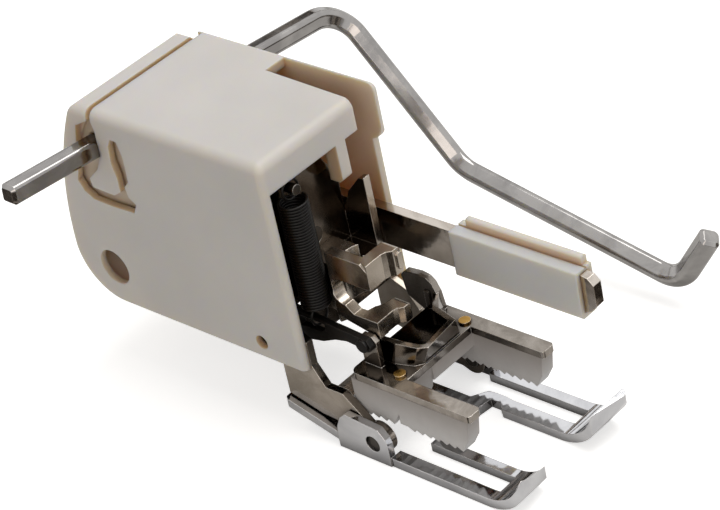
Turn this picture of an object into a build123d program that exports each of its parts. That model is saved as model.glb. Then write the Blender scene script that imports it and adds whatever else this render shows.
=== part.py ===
from build123d import *
from math import cos, radians, sin, tan
import os

# Walking presser foot for a sewing machine, in millimetres.
# The origin is on the presser bar's axis, at the height of the clamp screw notch.
# +X is the operator's right, +Y is the back, +Z is up, and the toes point to -Y.

os.makedirs("parts", exist_ok=True)

# Driving dimensions: clearances and sheet
run_gap = 0.05
seat_gap = 0.02
slip_gap = 0.1
sheet = 1.1

# Driving dimensions: presser bar and its clamp
bar_groove_r = 3.3
screw_notch_r = 1.875
shank_left = -4.8
shank_wall = 1.5
shank_front = -5.06
shank_top = 5.5
shank_back = 7.0
hook_right = 0.9
hook_bottom = -5.2
hook_flare = 0.8
lower_hook_top = -2.9
lug_left = -3.0
lug_right = 1.8
lug_bottom = -4.9
lug_top = 2.2
shank_rivet_x = -1.6
shank_rivet_r = 1.0
shank_rivet_heights = (-3.2, 0.7)

# Driving dimensions: housing
housing_left = -10.35
housing_width = 21.85
housing_front = 3.65
housing_bottom = -9.9
housing_height = 30.37
housing_right = housing_left + housing_width
housing_top = housing_bottom + housing_height
side_wall = 0.95
top_wall = 1.3
guard_wall = 1.0
fascia_bottom = housing_top - 4.37
fascia_depth = 1.1
fascia_right = 6.5
slot_back = 18.7
guard_setback = 1.95
guard_step_z = housing_top - 6.3
channel_rib_left = 2.5
channel_rib_right = 4.2
channel_rib_bottom = housing_top - 9.9
channel_rib_depth = 2.2
groove_front = 33.4
groove_width = 0.8
back_wall_right = 9.7

# Driving dimensions: sole
sole_bottom = -20.07
sole_sheet = 1.25
sole_left = -10.35
sole_right = 10.41
heel_start = -2.9
heel_end = 9.0
heel_angle = 14.3
toe_start = -23.6
toe_radius = 7.0
near_toe_y = -29.0
far_toe_y = -30.0
toe_corner_r = 0.9
slot_front_y = -24.5
rail_near_in = -8.6
rail_inner_left = -5.65
rail_inner_right = -4.2
rail_inner_end = -10.9
rail_a_left = 3.88
rail_a_right = 6.06
rail_b_left = 8.88
crossbar_front = 2.8
crossbar_depth = 2.6
pivot_y = -5.88
pivot_z = -17.4
pivot_r = 1.1
ear_sheet = 1.0
ear_gap = 0.15
right_arm_left = 8.75
right_arm_right = 9.65

# Driving dimensions: lifting lever
lever_y = 27.0
lever_z = -1.0
lever_left = 8.0
lever_right = 9.4
lever_top = 3.4
lever_bottom = -2.1
lever_tip = -29.4
shaft_r = 1.5
hub_r = 3.4
sleeve_front = -27.5
sleeve_back = -7.7
sleeve_wall = 0.68
sleeve_top = 0.5
sleeve_rise = 1.1
sleeve_right_wall = 0.9
crank_reach = 7.0
crank_rise = 4.0
crank_stud_r = 0.9

# Driving dimensions: feed carrier and pad
plate_top = -9.2
plate_sheet = 1.0
near_prong_left = -8.1
near_prong_right = -5.9
far_prong_left = 6.2
far_prong_right = 8.4
prong_front = -21.1
cross_front = -9.5
cross_back = -1.8
dish_top = -6.6
dish_wall = 0.8
pad_bottom = -14.7
tooth_depth = 0.5
tooth_pitch = 1.3
pad_front = -20.6
pad_shallow_bottom = -12.2

# Driving dimensions: feed drive
web_y = 7.0
link_left = -6.6
link_right = -5.7
rod_x = -1.0
rod_z = 4.0
rod_r = 1.25
block_front = 12.0
block_depth = 7.0
block_bottom = 0.0
block_top = 8.0
stem_y = 15.5
stud_r = 1.0
stud_low_z = 1.5
stud_high_z = 5.5
lift_travel = 5.2
tie_y = lever_y + 2.5
spring_x = -5.5
spring_y = 4.4
spring_r = 2.0
spring_wire = 0.4
eye_r = 1.35
spring_bottom = -2.8
spring_top = 13.0
link_rivet_y = -3.6
link_rivet_z = -5.6
link_rivet_r = 0.6
post_r = 0.7

# Driving dimensions: guide bar
guide_y = 34.6
guide_z = housing_top - 5.67
guide_slope = 0.094
guide_size = 2.68
guide_corner = 0.75
guide_left_reach = 14.15
guide_bend_x = 35.5

guide_left_x = housing_left - guide_left_reach
frame_left = housing_left + side_wall
frame_inner = frame_left + sheet
guide_wall_left = frame_left + 0.3
guide_wall = 1.3
right_plate_left = 4.7
right_plate_right = right_plate_left + sheet


def side_plate(x_from, x_to, outline, mode=Mode.ADD):
    """Adds a plate parallel to the side faces, cut to a (y, z) outline."""
    with BuildSketch(Plane.YZ.offset(x_from)) as flat:
        with BuildLine():
            Polyline(*outline, close=True)
        make_face()
    extrude(flat.sketch, amount=x_to - x_from, mode=mode)


def cross_plate(y_from, y_to, outline, mode=Mode.ADD):
    """Adds a plate parallel to the front face, cut to an (x, z) outline."""
    with BuildSketch(Plane.XZ.offset(-y_from)) as flat:
        with BuildLine():
            Polyline(*outline, close=True)
        make_face()
    extrude(flat.sketch, amount=-(y_to - y_from), mode=mode)


def level_plate(z_from, z_to, outline, mode=Mode.ADD):
    """Adds a plate parallel to the sole, cut to an (x, y) outline."""
    with BuildSketch(Plane.XY.offset(z_from)) as flat:
        with BuildLine():
            Polyline(*outline, close=True)
        make_face()
    extrude(flat.sketch, amount=z_to - z_from, mode=mode)


def cross_pin(x_from, x_to, y, z, radius, mode=Mode.ADD):
    """Adds a round pin or cuts a round hole along X."""
    with BuildSketch(Plane(origin=(x_from, y, z), x_dir=(0, 1, 0), z_dir=(1, 0, 0))) as disc:
        Circle(radius)
    extrude(disc.sketch, amount=x_to - x_from, mode=mode)


def long_pin(y_from, y_to, x, z, radius, mode=Mode.ADD):
    """Adds a round pin or cuts a round hole along Y."""
    with BuildSketch(Plane(origin=(x, y_from, z), x_dir=(1, 0, 0), z_dir=(0, 1, 0))) as disc:
        Circle(radius)
    extrude(disc.sketch, amount=y_to - y_from, mode=mode)


def finish(part, label):
    """Labels a finished piece and writes it."""
    part.label = label
    export_step(part, "parts/" + label + ".step")


# Guide bar axis: it falls slightly to the right
guide_axis = Vector(1, 0, -guide_slope).normalized()


def guide_point(x):
    """Gives the point of the guide bar's axis at a given x."""
    return Vector(x, guide_y, guide_z - guide_slope * (x - housing_left))


def guide_plane(x):
    """Gives the plane across the guide bar at a given x."""
    return Plane(origin=guide_point(x), x_dir=(0, 1, 0), z_dir=guide_axis)


def guide_hole(x_from, x_to):
    """Cuts the guide bar's slot through a wall."""
    size = guide_size + 2 * slip_gap
    with BuildSketch(guide_plane(x_from - 1)) as hole:
        RectangleRounded(size, size, guide_corner)
    extrude(hole.sketch, amount=x_to - x_from + 2, mode=Mode.SUBTRACT)


# Housing: one moulded cover, open below and towards the presser bar
housing_depth = 40.05
housing_back = housing_front + housing_depth
rear_top = (housing_back - 6.8, housing_top)
rear_mid = (housing_back - 2.1, housing_top - 10.47)
rear_low = (housing_back, housing_bottom + 6.9)
rear_turn = (housing_back - 1.7, housing_bottom + 2.5)
rear_foot = (housing_back - 7.1, housing_bottom)
channel_right = housing_right - guard_wall
inner_front = housing_front + fascia_depth
inner_top = housing_top - top_wall
inner_rear_top = (rear_top[0] - 2.2, inner_top)
inner_rear_mid = (rear_mid[0] - 1.6, rear_mid[1])
inner_rear_low = (rear_low[0] - 1.2, rear_low[1])
below = housing_bottom - 1

with BuildPart() as housing:
    with BuildSketch(Plane.YZ.offset(housing_left)) as shell_side:
        with BuildLine():
            Line((housing_front, housing_bottom), (housing_front, housing_top))
            Line((housing_front, housing_top), rear_top)
            ThreePointArc(rear_top, rear_mid, rear_low)
            ThreePointArc(rear_low, rear_turn, rear_foot)
            Line(rear_foot, (housing_front, housing_bottom))
        make_face()
    extrude(amount=housing_right - housing_left)
    top_edges = housing.edges().filter_by(GeomType.LINE).group_by(Axis.Z)[-1]
    fillet(top_edges, radius=1.3)
    front_edges = housing.edges().filter_by(Axis.Z).group_by(Axis.Y)[0]
    fillet(front_edges, radius=0.9)
    with BuildSketch(Plane.YZ.offset(housing_left + side_wall)) as inner_side:
        with BuildLine():
            Line((inner_front, below), (inner_front, inner_top))
            Line((inner_front, inner_top), inner_rear_top)
            ThreePointArc(inner_rear_top, inner_rear_mid, inner_rear_low)
            Line(inner_rear_low, (rear_foot[0], below))
            Line((rear_foot[0], below), (inner_front, below))
        make_face()
    extrude(amount=channel_right - housing_left - side_wall, mode=Mode.SUBTRACT)
    side_plate(
        housing_left + side_wall,
        channel_right,
        [
            (housing_front - 1, below),
            (housing_front - 1, fascia_bottom),
            (inner_front + 1, fascia_bottom),
            (inner_front + 1, below),
        ],
        Mode.SUBTRACT,
    )
    # Lever slot in the top, open at the front
    level_plate(
        fascia_bottom - 1,
        housing_top + 1,
        [
            (fascia_right, housing_front - 1),
            (channel_right, housing_front - 1),
            (channel_right, slot_back),
            (fascia_right + 0.6, slot_back),
        ],
        Mode.SUBTRACT,
    )
    # Right guard wall steps back below
    side_plate(
        channel_right - 0.5,
        housing_right + 1,
        [
            (housing_front - 1, below),
            (housing_front - 1, guard_step_z),
            (housing_front, guard_step_z),
            (housing_front + 0.3, guard_step_z - 0.9),
            (housing_front + 1.0, guard_step_z - 1.8),
            (housing_front + guard_setback, guard_step_z - 2.3),
            (housing_front + guard_setback, below),
        ],
        Mode.SUBTRACT,
    )
    # Lip between the mechanism bay and the lever channel
    side_plate(
        channel_rib_left,
        channel_rib_right,
        [
            (housing_front, channel_rib_bottom + 0.6),
            (housing_front, inner_top),
            (housing_front + channel_rib_depth, inner_top),
            (housing_front + channel_rib_depth, channel_rib_bottom),
            (housing_front + 0.6, channel_rib_bottom),
        ],
    )
    # Inner wall that carries the guide bar
    side_plate(
        guide_wall_left,
        guide_wall_left + guide_wall,
        [
            (groove_front - 5.8, rear_mid[1] - 3.7),
            (groove_front - 5.8, inner_top),
            (rear_top[0] - 1.9, inner_top),
            (rear_mid[0] - 3.7, rear_mid[1] + 6.5),
            (rear_mid[0] - 1.4, rear_mid[1] - 0.5),
            (rear_mid[0] - 0.3, rear_mid[1] - 5.0),
        ],
    )
    # Sprung tongue in the left face, in front of the guide bar
    slot_outline = [
        (0.0, 1.0),
        (0.0, -1.6),
        (-0.3, -2.9),
        (-0.1, -6.6),
        (1.3, -9.1),
        (3.4, -11.0),
        (3.2, -12.3),
        (-0.8, -12.4),
        (-2.2, -11.5),
        (-2.3, -9.4),
        (-1.9, -7.2),
        (-2.2, -4.6),
        (-2.9, -3.4),
        (-4.0, -3.4),
        (-4.5, -5.3),
        (-4.5, -7.1),
        (-4.3, -9.4),
        (-3.3, -10.4),
        (-3.6, -11.9),
        (-4.7, -12.7),
        (-3.9, -14.2),
        (0.2, -14.4),
        (3.7, -14.3),
        (5.2, -13.4),
        (6.0, -12.0),
        (5.4, -10.4),
        (4.5, -7.0),
        (3.3, -2.9),
        (groove_width, -1.6),
        (groove_width, 1.0),
    ]
    with BuildSketch(Plane.YZ.offset(housing_left - 1)) as tongue_slot:
        with BuildLine():
            Polyline(*[(groove_front + y, housing_top + z) for y, z in slot_outline], close=True)
        make_face()
        fillet(tongue_slot.vertices().group_by(Axis.Z)[:-2], radius=0.3)
    extrude(tongue_slot.sketch, amount=side_wall + 1, mode=Mode.SUBTRACT)
    # Groove between the top plate and the back wall
    level_plate(
        housing_top - top_wall - 0.2,
        housing_top + 1,
        [
            (housing_left - 1, groove_front),
            (channel_right, groove_front),
            (channel_right, groove_front + groove_width),
            (housing_left - 1, groove_front + groove_width),
        ],
        Mode.SUBTRACT,
    )
    # Back wall ends short of the right face behind the groove
    cross_plate(
        groove_front + groove_width - 0.01,
        rear_top[0] + 2,
        [
            (back_wall_right - 0.7, housing_top + 1),
            (back_wall_right - 0.7, housing_top),
            (back_wall_right, housing_top - 0.7),
            (back_wall_right, housing_top - 4.0),
            (housing_right + 1, housing_top - 4.0),
            (housing_right + 1, housing_top + 1),
        ],
        Mode.SUBTRACT,
    )
    guide_hole(guide_wall_left, guide_wall_left + guide_wall)
    guide_hole(channel_right, housing_right)
    cross_pin(housing_left - 1, frame_left, rear_foot[0] + 0.2, housing_bottom + 5.4, 2.6, Mode.SUBTRACT)
    cross_pin(housing_left - 1, frame_left, housing_front + 7.09, housing_bottom + 2.26, 1.0, Mode.SUBTRACT)
finish(housing.part, "housing")

# Frame: bent plates that carry everything else
arm_top = [(1.8, -12.2), (-1.0, -12.2), (pivot_y + 1.1, pivot_z + 1.8)]
arm_foot = [(pivot_y + 0.4, pivot_z - 2.06), (1.2, -17.0), (3.4, -16.9), (8.8, -15.5)]
arm_end_r = 2.1

with BuildPart() as frame:
    # Left plate with its arm down to the sole
    side_plate(
        frame_left,
        frame_inner,
        [
            (5.2, housing_top - 2.97),
            (5.2, -5.3),
            (3.5, -5.9),
            (3.5, -9.5),
            *arm_top,
            *arm_foot,
            (8.8, -8.8),
            (30.0, -8.8),
            (32.5, -6.0),
            (32.5, 4.6),
            (27.2, 6.0),
            (27.2, housing_top - 2.97),
        ],
    )
    cross_pin(frame_left, frame_inner, pivot_y, pivot_z, arm_end_r)
    # Web behind the lift spring, notched for the drive link
    cross_plate(
        web_y,
        web_y + sheet,
        [
            (frame_inner, -8.8),
            (frame_inner, housing_top - 4.47),
            (1.4, housing_top - 4.47),
            (3.0, 12.6),
            (right_plate_left, 10.3),
            (right_plate_left, -4.0),
            (right_arm_right, -4.0),
            (right_arm_right, -9.5),
            (link_right + 0.9, -9.5),
            (link_right + 0.9, -3.0),
            (link_left - 0.9, -3.0),
            (link_left - 0.9, -8.8),
        ],
    )
    # Right plate: a gusset in front and the lever's bearing behind
    side_plate(
        right_plate_left,
        right_plate_right,
        [
            (2.5, -0.75),
            (2.5, 10.3),
            (3.4, 10.1),
            (5.7, 7.5),
            (7.4, 3.15),
            (9.2, 0.4),
            (24.0, 2.6),
            (tie_y + sheet, 2.6),
            (tie_y + sheet, -5.0),
            (24.0, -6.0),
            (web_y + sheet, -6.0),
            (web_y, -4.0),
            (web_y, -0.75),
        ],
    )
    # Foot bent to the left beside the presser bar
    level_plate(
        -0.75,
        0.35,
        [(2.0, 2.6), (2.4, 2.4), (right_plate_left, 2.4), (right_plate_left, web_y), (2.0, web_y)],
    )
    # Right arm down to the sole
    side_plate(
        right_arm_left,
        right_arm_right,
        [
            (web_y, -4.0),
            (web_y, -8.0),
            (3.5, -9.5),
            *arm_top,
            *arm_foot,
            (8.8, -9.5),
            (web_y + sheet, -8.0),
            (web_y + sheet, -4.0),
        ],
    )
    cross_pin(right_arm_left, right_arm_right, pivot_y, pivot_z, arm_end_r)
    # Rear tie with a notch for the crank and the drive link
    cross_plate(
        tie_y,
        tie_y + sheet,
        [
            (frame_inner, -4.0),
            (frame_inner + 0.9, -4.0),
            (frame_inner + 0.9, 3.2),
            (-3.55, 3.2),
            (-3.55, -4.0),
            (right_plate_left, -4.0),
            (right_plate_left, 6.5),
            (-3.2, 6.5),
            (-4.6, 4.9),
            (frame_inner, 4.4),
        ],
    )
    # Left bearing ear of the lever shaft
    side_plate(-3.5, -2.4, [(lever_y - 2.6, -3.6), (lever_y - 2.6, 1.6), (tie_y, 1.6), (tie_y, -3.6)])
    cross_pin(frame_left - 1, frame_inner + 0.2, pivot_y, pivot_z, pivot_r + seat_gap, Mode.SUBTRACT)
    cross_pin(right_arm_left - 1, right_arm_right + 1, pivot_y, pivot_z, pivot_r + seat_gap, Mode.SUBTRACT)
    cross_pin(-3.6, right_plate_right + 1, lever_y, lever_z, shaft_r + run_gap, Mode.SUBTRACT)
    long_pin(web_y - 1, web_y + sheet + 1, rod_x, rod_z, rod_r + seat_gap, Mode.SUBTRACT)
    long_pin(tie_y - 1, tie_y + sheet + 1, rod_x, rod_z, rod_r + seat_gap, Mode.SUBTRACT)
    long_pin(web_y - 1, web_y + sheet + 1, spring_x, spring_top + 1.7, post_r + seat_gap, Mode.SUBTRACT)
    for rivet_z in shank_rivet_heights:
        rivet_hole_r = shank_rivet_r + seat_gap
        long_pin(web_y - 1, web_y + sheet + 1, shank_rivet_x, rivet_z, rivet_hole_r, Mode.SUBTRACT)
finish(frame.part, "frame")

# Shank: the forked clamp that the presser bar's screw pulls up
with BuildPart() as shank:
    # Left wall, lower at the front
    side_plate(
        shank_left,
        shank_left + shank_wall,
        [
            (1.76, shank_top),
            (shank_front + 1.0, shank_top),
            (shank_front, shank_top - 1.0),
            (shank_front, -5.3),
            (1.76, -3.9),
        ],
    )
    # Lug behind the presser bar
    level_plate(
        lug_bottom,
        lug_top,
        [
            (shank_left, 1.4),
            (shank_left + 0.1, 1.76),
            (-3.2, 3.5),
            (lug_left, shank_back),
            (lug_right, shank_back),
            (lug_right, 2.4),
            (shank_left + shank_wall, 0.6),
        ],
    )
    # Upper and lower hooks in front of the bar, flared at their ends
    hook_outline = [
        (shank_left, shank_front),
        (-1.9, shank_front),
        (-1.2, shank_front - 0.2),
        (-0.7, shank_front - hook_flare),
        (hook_right - 0.5, shank_front - hook_flare),
        (hook_right, shank_front - hook_flare + 0.4),
        (hook_right, shank_front + 0.6),
        (hook_right - 0.5, -3.2),
        (shank_left + 1, -2.0),
    ]
    level_plate(screw_notch_r, shank_top, hook_outline)
    level_plate(hook_bottom, lower_hook_top, hook_outline)
    # Round the flared ends
    end_plane = Plane.XZ.offset(-(shank_front - 2))
    for z_low, z_high in ((screw_notch_r, shank_top), (hook_bottom, lower_hook_top)):
        with BuildSketch(end_plane) as end_block:
            with Locations((hook_right + 1, (z_low + z_high) / 2)):
                Rectangle(4.0, z_high - z_low + 1)
            with Locations((hook_right - 2.5, (z_low + z_high) / 2)):
                RectangleRounded(5.0, z_high - z_low, 0.95, mode=Mode.SUBTRACT)
        extrude(end_block.sketch, amount=-4.0, mode=Mode.SUBTRACT)
    # Raised lug at the end of the upper hook
    pill_plane = Plane(
        origin=(hook_right - 0.75, shank_front - hook_flare + 0.3, (screw_notch_r + shank_top) / 2),
        x_dir=(0, 0, 1),
        z_dir=(0, -1, 0),
    )
    with BuildSketch(pill_plane) as pill:
        SlotOverall(2.4, 0.9)
    extrude(pill.sketch, amount=0.55)
    # Groove for the presser bar and notch for its screw
    with BuildSketch(Plane.XY.offset(hook_bottom - 1)) as groove:
        Circle(bar_groove_r)
        with Locations((bar_groove_r, 0)):
            Rectangle(2 * bar_groove_r, 2 * bar_groove_r - 1.6)
    extrude(groove.sketch, amount=shank_top - hook_bottom + 2, mode=Mode.SUBTRACT)
    level_plate(
        screw_notch_r,
        shank_top + 1,
        [(-bar_groove_r, 0.0), (-bar_groove_r, -bar_groove_r), (0.0, -bar_groove_r), (0.0, 0.0)],
        Mode.SUBTRACT,
    )
    side_plate(
        shank_left - 1,
        hook_right + 1.5,
        [
            (shank_front - hook_flare - 1, screw_notch_r),
            (0.0, screw_notch_r),
            (0.0, -screw_notch_r),
            (-1.2, lower_hook_top),
            (shank_front - hook_flare - 1, lower_hook_top),
        ],
        Mode.SUBTRACT,
    )
    cross_pin(shank_left - 1, 0, 0, 0, screw_notch_r, Mode.SUBTRACT)
    for rivet_z in shank_rivet_heights:
        long_pin(4.4, shank_back + 1, shank_rivet_x, rivet_z, shank_rivet_r + seat_gap, Mode.SUBTRACT)
finish(shank.part, "shank")

# Shank rivets: two, headed behind the web
with BuildPart() as shank_rivets:
    for rivet_z in shank_rivet_heights:
        long_pin(4.5, web_y + sheet + 0.3, shank_rivet_x, rivet_z, shank_rivet_r)
        long_pin(web_y + sheet, web_y + sheet + 0.8, shank_rivet_x, rivet_z, shank_rivet_r + 0.6)
finish(shank_rivets.part, "shank_rivets")

# Sole: open toe plate with two slots, upturned toes and a raised heel
toe_top_r = toe_radius - sole_sheet
toe_centre_z = sole_bottom + toe_radius
toe_turn = radians(75)
heel_run = heel_end - heel_start
heel_lift = heel_run * tan(radians(heel_angle))
near_ear_left = frame_left - ear_gap - ear_sheet
far_ear_left = right_arm_right + ear_gap


def toe_point(radius, turn):
    """Gives a (y, z) point on the toe's upward curve."""
    return (toe_start - radius * sin(turn), toe_centre_z - radius * cos(turn))


with BuildPart() as sole:
    with BuildSketch(Plane.YZ.offset(near_ear_left)) as sole_side:
        with BuildLine():
            Line(toe_point(toe_top_r, toe_turn), toe_point(toe_radius, toe_turn))
            ThreePointArc(
                toe_point(toe_radius, toe_turn),
                toe_point(toe_radius, toe_turn / 2),
                toe_point(toe_radius, 0),
            )
            Line((toe_start, sole_bottom), (heel_start, sole_bottom))
            Line((heel_start, sole_bottom), (heel_end, sole_bottom + heel_lift))
            Line((heel_end, sole_bottom + heel_lift), (heel_end, sole_bottom + heel_lift + sole_sheet))
            Line((heel_end, sole_bottom + heel_lift + sole_sheet), (heel_start, sole_bottom + sole_sheet))
            Line((heel_start, sole_bottom + sole_sheet), (toe_start, sole_bottom + sole_sheet))
            ThreePointArc(
                toe_point(toe_top_r, 0), toe_point(toe_top_r, toe_turn / 2), toe_point(toe_top_r, toe_turn)
            )
        make_face()
    extrude(amount=far_ear_left + ear_sheet - near_ear_left)
    with BuildSketch(Plane.XY.offset(sole_bottom - 1)) as near_plan:
        # Near loop with its free inner finger
        with BuildLine():
            Polyline(
                (sole_left, near_toe_y - 0.3),
                (rail_inner_right, near_toe_y + 0.8),
                (rail_inner_right, rail_inner_end),
                (rail_inner_left, rail_inner_end),
                (rail_inner_left, slot_front_y),
                (rail_near_in, slot_front_y),
                (rail_near_in, heel_end),
                (sole_left, heel_end),
                close=True,
            )
        make_face()
        fillet(near_plan.vertices().group_by(Axis.Y)[0], radius=toe_corner_r)
        fillet(near_plan.vertices().group_by(Axis.Y)[-1], radius=0.6)
    with BuildSketch(Plane.XY.offset(sole_bottom - 1)) as far_plan:
        # Far loop, its left rail stepped towards the middle
        with BuildLine():
            Polyline(
                (rail_a_left, far_toe_y + 0.9),
                (sole_right, far_toe_y - 0.2),
                (sole_right, crossbar_front + crossbar_depth),
                (rail_b_left, crossbar_front + crossbar_depth),
                (rail_b_left, slot_front_y),
                (rail_a_right, slot_front_y),
                (rail_a_right, -14.6),
                (rail_a_right + 0.18, -13.4),
                (rail_a_right + 0.18, -12.0),
                (rail_a_right, -10.7),
                (rail_a_right - 2.0, -9.3),
                (rail_a_right - 2.0, crossbar_front + 1),
                (rail_a_left - 2.0, crossbar_front + 1),
                (rail_a_left - 2.0, -11.6),
                (rail_a_left + 1.0, -12.0),
                (rail_a_left + 1.0, -13.4),
                (rail_a_left, -14.6),
                close=True,
            )
        make_face()
        fillet(far_plan.vertices().group_by(Axis.Y)[0], radius=toe_corner_r)
    with BuildSketch(Plane.XY.offset(sole_bottom - 1)) as bar_plan:
        with Locations((0, crossbar_front + crossbar_depth / 2)):
            Rectangle(2 * abs(rail_near_in) + 2, crossbar_depth)
    plan = near_plan.sketch + far_plan.sketch + bar_plan.sketch
    extrude(plan, amount=25, mode=Mode.INTERSECT)
    # Windows beside the ears, so that the frame's arms swing free
    arm_window_front = pivot_y - 2.55
    arm_window_back = -1.5
    for x_from, x_to in ((frame_left - ear_gap, rail_near_in + 1), (rail_b_left - 1, far_ear_left)):
        level_plate(
            sole_bottom - 1,
            sole_bottom + 8,
            [
                (x_from, arm_window_front),
                (x_to, arm_window_front),
                (x_to, arm_window_back),
                (x_from, arm_window_back),
            ],
            Mode.SUBTRACT,
        )
    # Ears
    for ear_x in (near_ear_left, far_ear_left):
        side_plate(
            ear_x,
            ear_x + ear_sheet,
            [
                (0.2, sole_bottom),
                (0.24, -19.0),
                (0.0, -16.8),
                (-0.8, -15.2),
                (-1.76, -14.35),
                (-3.4, -14.5),
                (-7.2, -14.8),
                (-8.2, -16.0),
                (arm_window_front, -16.9),
                (arm_window_front, sole_bottom),
            ],
        )
        cross_pin(ear_x - 1, ear_x + ear_sheet + 1, pivot_y, pivot_z, pivot_r + run_gap, Mode.SUBTRACT)
finish(sole.part, "sole")

# Sole pins: riveted in the arms, their ends sunk in the ears
pin_sink = 0.35

with BuildPart() as sole_pins:
    cross_pin(near_ear_left + pin_sink, frame_inner + 0.1, pivot_y, pivot_z, pivot_r)
    cross_pin(right_arm_left - 0.1, far_ear_left + ear_sheet - pin_sink, pivot_y, pivot_z, pivot_r)
finish(sole_pins.part, "sole_pins")

# Feed carrier: a forked plate with a pressed dish under the shank and an upright flange
plate_bottom = plate_top - plate_sheet
flange_left = 7.0
flange_right = 8.0
flange_front = -4.0
carrier_rivet_places = ((-5.6, -8.0), (6.7, -8.2))

with BuildPart() as feed_carrier:
    with BuildSketch(Plane.XY.offset(plate_bottom)) as fork:
        with BuildLine():
            Polyline(
                (near_prong_left, prong_front),
                (near_prong_right, prong_front),
                (near_prong_right, cross_front),
                (far_prong_left, cross_front),
                (far_prong_left, prong_front),
                (far_prong_right, prong_front),
                (far_prong_right, cross_back),
                (near_prong_left, cross_back),
                close=True,
            )
        make_face()
        fillet(fork.vertices().group_by(Axis.Y)[0], radius=0.5)
        fillet(fork.vertices().group_by(Axis.Y)[-1], radius=1.2)
    extrude(amount=plate_sheet)
    with BuildSketch(Plane.XY.offset(plate_top)) as dish_foot:
        with BuildLine():
            Polyline(
                (-4.4, cross_back),
                (-4.2, cross_front + 3.5),
                (-3.4, cross_front + 1.0),
                (-2.4, cross_front + 0.2),
                (4.5, cross_front + 0.3),
                (5.5, cross_front + 3.5),
                (flange_left, flange_front - 0.8),
                (flange_right, flange_front + 0.4),
                (flange_right, cross_back),
                close=True,
            )
        make_face()
    with BuildSketch(Plane.XY.offset(dish_top)) as dish_rim:
        with BuildLine():
            Polyline(
                (-3.8, cross_back),
                (-3.5, cross_front + 3.5),
                (-2.9, cross_front + 0.5),
                (-2.1, cross_front - 0.7),
                (4.0, cross_front),
                (4.9, cross_front + 3.5),
                (flange_left - 0.5, flange_front - 0.6),
                (flange_right, flange_front + 0.6),
                (flange_right, cross_back),
                close=True,
            )
        make_face()
    dish_outer = loft([dish_foot.sketch.face(), dish_rim.sketch.face()], mode=Mode.PRIVATE)
    with BuildSketch(Plane.XY.offset(plate_top - 0.01)) as dish_floor:
        add(dish_foot.sketch.moved(Location((0, 0, -0.01))))
        offset(amount=-dish_wall, kind=Kind.INTERSECTION, mode=Mode.REPLACE)
    with BuildSketch(Plane.XY.offset(dish_top + 0.01)) as dish_mouth:
        add(dish_rim.sketch.moved(Location((0, 0, 0.01))))
        offset(amount=-dish_wall, kind=Kind.INTERSECTION, mode=Mode.REPLACE)
    dish_inner = loft([dish_floor.sketch.face(), dish_mouth.sketch.face()], mode=Mode.PRIVATE)
    add(dish_outer - dish_inner)
    level_plate(
        plate_top,
        dish_top + 0.2,
        [
            (-2.8, cross_back - 1.2),
            (flange_left - 0.2, cross_back - 1.2),
            (flange_left - 0.2, cross_back + 1),
            (-2.8, cross_back + 1),
        ],
        Mode.SUBTRACT,
    )
    # Upright flange on the right
    side_plate(
        flange_left,
        flange_right,
        [
            (1.9, -5.4),
            (1.2, -4.7),
            (-1.2, -4.45),
            (-2.4, -4.65),
            (-3.2, -5.3),
            (flange_front + 0.4, dish_top + 0.4),
            (flange_front + 0.2, dish_top),
            (flange_front - 0.2, plate_top),
            (flange_front - 0.2, plate_bottom),
            (cross_back, plate_bottom),
            (1.4, -8.4),
        ],
    )
    # Tab that the drive link is riveted to
    side_plate(
        link_right,
        shank_left - 0.2,
        [
            (link_rivet_y - 1.4, plate_top - 0.5),
            (link_rivet_y - 1.4, link_rivet_z + 0.2),
            (link_rivet_y - 0.8, link_rivet_z + 0.9),
            (link_rivet_y + 0.8, link_rivet_z + 0.9),
            (link_rivet_y + 1.3, link_rivet_z + 0.3),
            (link_rivet_y + 1.3, plate_top - 0.5),
        ],
    )
    cross_pin(link_right - 1, shank_left, link_rivet_y, link_rivet_z, link_rivet_r + seat_gap, Mode.SUBTRACT)
    for x, y in carrier_rivet_places:
        with BuildSketch(Plane.XY.offset(plate_bottom - 1)) as rivet_hole:
            with Locations((x, y)):
                Circle(0.5 + seat_gap)
        extrude(rivet_hole.sketch, amount=2.5, mode=Mode.SUBTRACT)
finish(feed_carrier.part, "feed_carrier")

# Feed pad: rubber, toothed underneath

def toothed_side(front, back):
    """Gives the (y, z) outline of a toothed stretch of the pad."""
    outline = [(back, plate_bottom), (front, plate_bottom), (front + 0.5, pad_bottom + 1.4)]
    y = front + 1.6
    while y + tooth_pitch < back:
        outline.append((y, pad_bottom - tooth_depth))
        outline.append((y + 0.75 * tooth_pitch, pad_bottom))
        y += tooth_pitch
    outline.append((back, pad_bottom))
    return outline


with BuildPart() as feed_pad:
    side_plate(near_prong_left, near_prong_right, toothed_side(pad_front, cross_front + 0.5))
    side_plate(near_prong_left, -1.5, toothed_side(cross_front, cross_back))
    side_plate(far_prong_left + 0.1, far_prong_right + 0.1, toothed_side(pad_front, cross_back))
    side_plate(
        -1.6,
        far_prong_left + 0.2,
        [
            (cross_front, plate_bottom),
            (cross_back, plate_bottom),
            (cross_back, pad_shallow_bottom),
            (cross_front, pad_shallow_bottom),
        ],
    )
    for x, y in carrier_rivet_places:
        with BuildSketch(Plane.XY.offset(plate_bottom - 1.6)) as rivet_seat:
            with Locations((x, y)):
                Circle(0.5 + seat_gap)
        extrude(rivet_seat.sketch, amount=1.6, mode=Mode.SUBTRACT)
finish(feed_pad.part, "feed_pad")

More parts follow.
